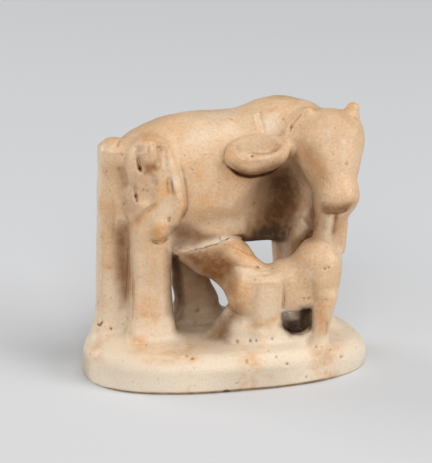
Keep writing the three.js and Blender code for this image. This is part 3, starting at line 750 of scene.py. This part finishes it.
def toolFront():
    points = pointsOf(stoneMesh)
    normals = normalsOf(stoneMesh)
    view = seenFromPhoto(points, normals)
    lift = np.zeros(len(points))
    for path, width, height, _ in frontStrokes.values():
        lift += height * strokeShare(view, path, width)
    lift *= 1 + strokeGrain["share"] * grain(points, strokeGrain["size"], strokeGrain["seed"])
    for across, down, width, deep in frontPits:
        lift -= deep * strokeShare(view, ((across, down),), width)
    movePoints(stoneMesh, points + normals * lift[:, None])


toolFront()

count = sum(len(face.vertices) - 2 for face in stoneMesh.polygons)
if count > lattice["triangles"]:
    thin = group.modifiers.new("thin", "DECIMATE")
    thin.ratio = lattice["triangles"] / count
    bpy.context.view_layer.update()
    group.data = bpy.data.meshes.new_from_object(group.evaluated_get(bpy.context.evaluated_depsgraph_get()))
    group.modifiers.clear()
    bpy.data.meshes.remove(stoneMesh)
    stoneMesh = group.data
    stoneMesh.name = "cowAndCalfStone"
for polygon in stoneMesh.polygons:
    polygon.use_smooth = True
print("thinned to", len(stoneMesh.polygons), "faces")

points = pointsOf(stoneMesh)
normals = normalsOf(stoneMesh)

rooted = points - normals * fieldAt(points)[:, None]  # back on the carved form, under strokes and pits

probes = {"crevice": (0.8, 1.6, 3.0), "hollow": (5.0, 8.0, 12.0), "worn": (1.2, 2.5)}  # mm off the skin


# how closed in each point is, from the room a little way off the skin
def closedIn(distances):
    room = sum(np.clip(fieldAt(rooted + normals * far) / far, 0, 1) for far in distances)
    return 1 - room / len(distances)


# how thin the stone is under each point, as at an edge
def wornEdge(distances):
    body = sum(np.clip(-fieldAt(rooted - normals * deep) / deep, 0, 1) for deep in distances)
    return 1 - body / len(distances)


# crevice and hollow darken the colour below in creases and hollows as painted shade, with patina and dirt
crevice = closedIn(probes["crevice"])
hollow = closedIn(probes["hollow"])
worn = wornEdge(probes["worn"])

# low relief of the stone: height in mm, size of its grain in mm, seed
relief = {
    "swell": (0.14, (9, 9, 9), 3),
    "base": (0.75, (13, 13, 13), 4),
    "chisel": (0.1, (2.4, 2.4, 9), 5),
    "rough": (0.06, (1.5, 1.5, 1.5), 7),
}
# heights in mm where the relief of base and animals sets in, and over which it fades
reliefLevels = {"baseTop": 16, "baseFade": 4, "chiselFrom": 12, "chiselFade": 8, "foot": 1.5}


def reliefOf(kind):
    height, size, seed = relief[kind]
    return height * grain(points, size, seed)


heights = points[:, 2]
onBase = np.clip((reliefLevels["baseTop"] - heights) / reliefLevels["baseFade"], 0, 1)
onAnimals = np.clip((heights - reliefLevels["chiselFrom"]) / reliefLevels["chiselFade"], 0, 1)
lift = reliefOf("swell") + reliefOf("base") * onBase + reliefOf("chisel") * onAnimals + reliefOf("rough")
lift *= np.clip(heights / reliefLevels["foot"], 0, 1)
points = points + normals * lift[:, None]
points[:, 2] = np.maximum(points[:, 2], 0)
movePoints(stoneMesh, points)
view = seenFromPhoto(points, normals)
# dirt in the strokes' grooves and pits, with the shade painted there
dirtAndShade = np.zeros(len(points))
for path, width, _, held in frontStrokes.values():
    dirtAndShade += held * strokeShare(view, path, width * dirtAndShadeHeld["strokeWidth"])
for across, down, width, deep in frontPits:
    dirtAndShade += dirtAndShadeHeld["pit"] * deep * strokeShare(view, ((across, down),), width)
paint = {kind: np.zeros(len(points)) for kind in ("stainAndShade", "paintedShade", "pale", "rustAndShade", "cleanAndLit")}
for kind, strength, soft, depthGate, outline in frontPatches.values():
    share = patchShare(view, outline, soft, depthGate)
    paint[kind] = np.maximum(paint[kind], strength * share)
for path, width, strength in highlightAndWearLines.values():
    paint["pale"] = np.maximum(paint["pale"], strength * strokeShare(view, path, width))


spreadRounds = 24  # times that neighbours share their colour


# skin the picture doesn't see takes its colour from its neighbours, so no patch ends in a torn edge
def shareAround(painted):
    ends = np.empty(len(stoneMesh.edges) * 2, dtype=np.int32)
    stoneMesh.edges.foreach_get("vertices", ends)
    near = np.concatenate((ends[0::2], ends[1::2]))
    far = np.concatenate((ends[1::2], ends[0::2]))
    number = np.maximum(np.bincount(near, minlength=len(painted)), 1)
    values = painted
    for _ in range(spreadRounds):
        around = np.bincount(near, values[far], len(values)) / number
        values = np.where(view[0], painted, around)
    return 0.5 * values + 0.5 * np.bincount(near, values[far], len(values)) / number


# the clean patches lift patina and painted shade where light is painted
cleanAndLit = paint.pop("cleanAndLit")
for kind in ("stainAndShade", "paintedShade"):
    paint[kind] = shareAround(paint[kind]) * (1 - cleanAndLit)
paint["rustAndShade"] = shareAround(paint["rustAndShade"])
crevice *= 1 - cleanAndLit
hollow *= 1 - cleanAndLit


def paintMask(name, values):
    layer = stoneMesh.attributes.new(name, "FLOAT", "POINT")
    layer.data.foreach_set("value", np.clip(values, 0, 1).astype(np.float32))


paintMask("crevice", crevice)
paintMask("hollow", hollow)
paintMask("dirtAndShade", dirtAndShade)
paintMask("worn", worn)
for kind in paint:
    paintMask(kind, paint[kind])
print("relief and masks laid")

marbleLooks = {
    "honey": (0.575, 0.358, 0.192),
    "cream": (0.685, 0.485, 0.312),
    "pale": (0.71, 0.6, 0.46),
    "chalk": (0.78, 0.69, 0.56),      # low on the base the stone is whitest
    "amber": (0.585, 0.285, 0.088),
    "patinaAndShade": (0.34, 0.19, 0.05),      # patina and painted shade lie over the stone like a brown glass
    # the dark of the painted shade
    "deep": (0.05, 0.022, 0.009),
    "umber": (0.2, 0.088, 0.036),
    # near black of dirt and of the painted shade in creases and grooves
    "dirtAndShade": (0.07, 0.028, 0.01),
    "shine": 0.42,
    "bump": 0.55,
    "bumpDepth": 0.0004,              # metres
    "glow": 0.22,                     # light that sinks into the stone
    "glowColour": (1.0, 0.6, 0.35),
    "glowDepth": 0.002,
}
# clouds in the stone: scale per metre, detail, roughness
marbleClouds = {
    "tone": (55, 5.0, 0.6),
    "white": (85, 5.0, 0.6),
    "amber": (120, 6.0, 0.65),
    "rustAndShade": (260, 4.0, 0.55),
    "patchiness": (350, 4.0, 0.55),
    "flecks": (420, 3.0, 0.55),
    "grit": (1100, 3.0, 0.55),
}
# each tint begins at the first value and is full at the second, from its least to its greatest share
marbleShares = {
    "cream": (0.4, 0.6, 0.25, 0.75),
    "lowPale": (0.034, 0.007, 0, 0.9),     # by height in metres
    "lowChalk": (0.0095, 0.004, 0, 0.5),
    "handled": (0.01, 0.03, 0.45, 1),      # the base is cleaner than the animals
    "wornPale": (0.25, 0.7, 0, 0.45),
    "whiteCloud": (0.54, 0.66, 0, 0.3),
    "amberCloud": (0.53, 0.68, 0, 0.32),
    "brokenRustAndShade": (0.35, 0.6, 0.3, 1),
    "darkGrit": (0.51, 0.74, 0, 0.2),
    "paleGrit": (0.48, 0.3, 0, 0.28),
    "hollowShadeAndPatina": (0.45, 0.95, 0, 0.6),
    "patchiness": (0.3, 0.6, 0.8, 1),
    "creviceShadeAndPatina": (0.3, 0.8, 0, 0.85),
    "creviceDirtAndShade": (0.7, 1, 0, 0.6),
    "strokeShadeAndPatina": (0, 0.4, 0, 1),
    "strokeDirtAndShade": (0.45, 0.95, 0, 0.85),
    "flecks": (0.66, 0.74, 0, 0.5),
    "roughness": (0.3, 0.7, 0.27, 0.42),
    "paintedShadeRoughness": (0.1, 0.6, 0.3, 0.95),
}


def marbleMaterial():
    material = bpy.data.materials.new("wornMarble")
    material.use_nodes = True
    nodes = material.node_tree.nodes
    links = material.node_tree.links
    shader = nodes["Principled BSDF"]
    place = nodes.new("ShaderNodeTexCoord").outputs["Object"]

    def noise(name):
        node = nodes.new("ShaderNodeTexNoise")
        for socket, value in zip(("Scale", "Detail", "Roughness"), marbleClouds[name]):
            node.inputs[socket].default_value = value
        links.new(place, node.inputs["Vector"])
        return node.outputs["Fac"]

    def spread(value, name):
        node = nodes.new("ShaderNodeMapRange")
        node.interpolation_type = "SMOOTHSTEP"
        for socket, limit in zip(("From Min", "From Max", "To Min", "To Max"), marbleShares[name]):
            node.inputs[socket].default_value = limit
        links.new(value, node.inputs["Value"])
        return node.outputs["Result"]

    def combine(a, b, operation):
        node = nodes.new("ShaderNodeMath")
        node.operation = operation
        links.new(a, node.inputs[0])
        links.new(b, node.inputs[1])
        return node.outputs[0]

    def times(a, b):
        return combine(a, b, "MULTIPLY")

    def mask(name):
        node = nodes.new("ShaderNodeAttribute")
        node.attribute_name = name
        return node.outputs["Fac"]

    def tint(under, over, share, blend="MIX"):
        node = nodes.new("ShaderNodeMix")
        node.data_type = "RGBA"
        node.blend_type = blend
        if isinstance(under, str):
            node.inputs["A"].default_value = marbleLooks[under] + (1,)
        else:
            links.new(under, node.inputs["A"])
        node.inputs["B"].default_value = marbleLooks[over] + (1,)
        links.new(share, node.inputs["Factor"])
        return node.outputs["Result"]

    split = nodes.new("ShaderNodeSeparateXYZ")
    links.new(place, split.inputs[0])
    height = split.outputs["Z"]
    tone = noise("tone")
    grit = noise("grit")
    handled = spread(height, "handled")
    patchiness = spread(noise("patchiness"), "patchiness")

    # the stone itself, whiter low down and along worn edges, with painted highlights and light from the
    # pale mask
    colour = tint("honey", "cream", spread(tone, "cream"))
    colour = tint(colour, "pale", spread(height, "lowPale"))
    colour = tint(colour, "chalk", spread(height, "lowChalk"))
    colour = tint(colour, "pale", spread(mask("worn"), "wornPale"))
    colour = tint(colour, "pale", mask("pale"))
    colour = tint(colour, "pale", spread(noise("white"), "whiteCloud"))
    colour = tint(colour, "amber", spread(noise("amber"), "amberCloud"))
    colour = tint(colour, "amber", times(mask("rustAndShade"), spread(noise("rustAndShade"), "brokenRustAndShade")))
    colour = tint(colour, "umber", times(spread(grit, "darkGrit"), handled))
    colour = tint(colour, "pale", times(spread(grit, "paleGrit"), handled))

    # painted shade in hollows, creases and under the forms, with patina and dirt, over it
    colour = tint(colour, "patinaAndShade", spread(mask("hollow"), "hollowShadeAndPatina"), "MULTIPLY")
    colour = tint(colour, "patinaAndShade", times(mask("stainAndShade"), patchiness), "MULTIPLY")
    colour = tint(colour, "deep", times(mask("paintedShade"), patchiness))
    colour = tint(colour, "patinaAndShade", spread(mask("crevice"), "creviceShadeAndPatina"), "MULTIPLY")
    colour = tint(colour, "dirtAndShade", spread(mask("crevice"), "creviceDirtAndShade"))
    colour = tint(colour, "patinaAndShade", times(spread(mask("dirtAndShade"), "strokeShadeAndPatina"), patchiness), "MULTIPLY")
    colour = tint(colour, "dirtAndShade", spread(mask("dirtAndShade"), "strokeDirtAndShade"))
    colour = tint(colour, "umber", spread(noise("flecks"), "flecks"))
    links.new(colour, shader.inputs["Base Color"])

    bump = nodes.new("ShaderNodeBump")
    bump.inputs["Strength"].default_value = marbleLooks["bump"]
    bump.inputs["Distance"].default_value = marbleLooks["bumpDepth"]
    links.new(grit, bump.inputs["Height"])
    links.new(bump.outputs["Normal"], shader.inputs["Normal"])
    rough = combine(spread(tone, "roughness"), spread(mask("paintedShade"), "paintedShadeRoughness"), "MAXIMUM")
    links.new(rough, shader.inputs["Roughness"])
    shader.inputs["Specular IOR Level"].default_value = marbleLooks["shine"]
    shader.inputs["Subsurface Weight"].default_value = marbleLooks["glow"]
    shader.inputs["Subsurface Radius"].default_value = marbleLooks["glowColour"]
    shader.inputs["Subsurface Scale"].default_value = marbleLooks["glowDepth"]
    return material


stoneMesh.materials.clear()
stoneMesh.materials.append(marbleMaterial())
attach(group, "root")
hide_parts("cow_and_calf_group")
print("marble laid on the group")

studio = {
    "floor": (0.6, 0.605, 0.615),
    "floorSize": 8,
    "floorRoughness": 0.9,
    "floorShine": 0.1,
    "aim": (0, 0, 0.05),  # the lamps look at the group's middle
    "world": 0.23,
    "lights": (  # name, place in metres, size, watts
        ("top", (0.9, -0.5, 2.4), 1.2, 24),
        ("keyRight", (1.9, -1.3, 1.2), 1.2, 26),
        ("fillLeft", (-2.0, -1.2, 1.1), 1.2, 11),
        ("front", (-0.5, -2.05, 1.5), 1.2, 29),
        ("backLeft", (-1.3, 1.1, 0.75), 0.9, 13),
    ),
}


def aimLamp(lamp, aim):
    lamp.rotation_euler = (Vector(aim) - lamp.location).to_track_quat("-Z", "Y").to_euler()


def buildStudio():
    bpy.ops.mesh.primitive_plane_add(size=studio["floorSize"])
    floor = bpy.context.object
    floor.name = "studioFloor"
    material = bpy.data.materials.new("paleFloor")
    material.use_nodes = True
    shader = material.node_tree.nodes["Principled BSDF"]
    shader.inputs["Base Color"].default_value = studio["floor"] + (1,)
    shader.inputs["Roughness"].default_value = studio["floorRoughness"]
    shader.inputs["Specular IOR Level"].default_value = studio["floorShine"]
    floor.data.materials.append(material)
    world = bpy.data.worlds.new("studioWorld")
    bpy.context.scene.world = world
    world.use_nodes = True
    sky = world.node_tree.nodes["Background"]
    sky.inputs["Color"].default_value = (1, 1, 1, 1)
    sky.inputs["Strength"].default_value = studio["world"]
    for name, place, size, watts in studio["lights"]:
        data = bpy.data.lights.new(name, "AREA")
        data.size = size
        data.energy = watts
        lamp = bpy.data.objects.new(name, data)
        lamp.location = place
        bpy.context.scene.collection.objects.link(lamp)
        aimLamp(lamp, studio["aim"])


buildStudio()
bpy.context.scene.view_settings.view_transform = "Standard"


def placeCamera():
    data = bpy.data.cameras.new("photoCamera")
    data.sensor_fit = "VERTICAL"
    data.sensor_height = photoView["sensor"]
    data.lens = photoView["sensor"] * focalPixels / photoView["size"][1]
    camera = bpy.data.objects.new("photoCamera", data)
    camera.location = eyePoint / perMetre
    camera.rotation_euler = Vector(viewBack).to_track_quat("Z", "Y").to_euler()
    bpy.context.scene.collection.objects.link(camera)
    bpy.context.scene.camera = camera


placeCamera()
print("studio and camera set")
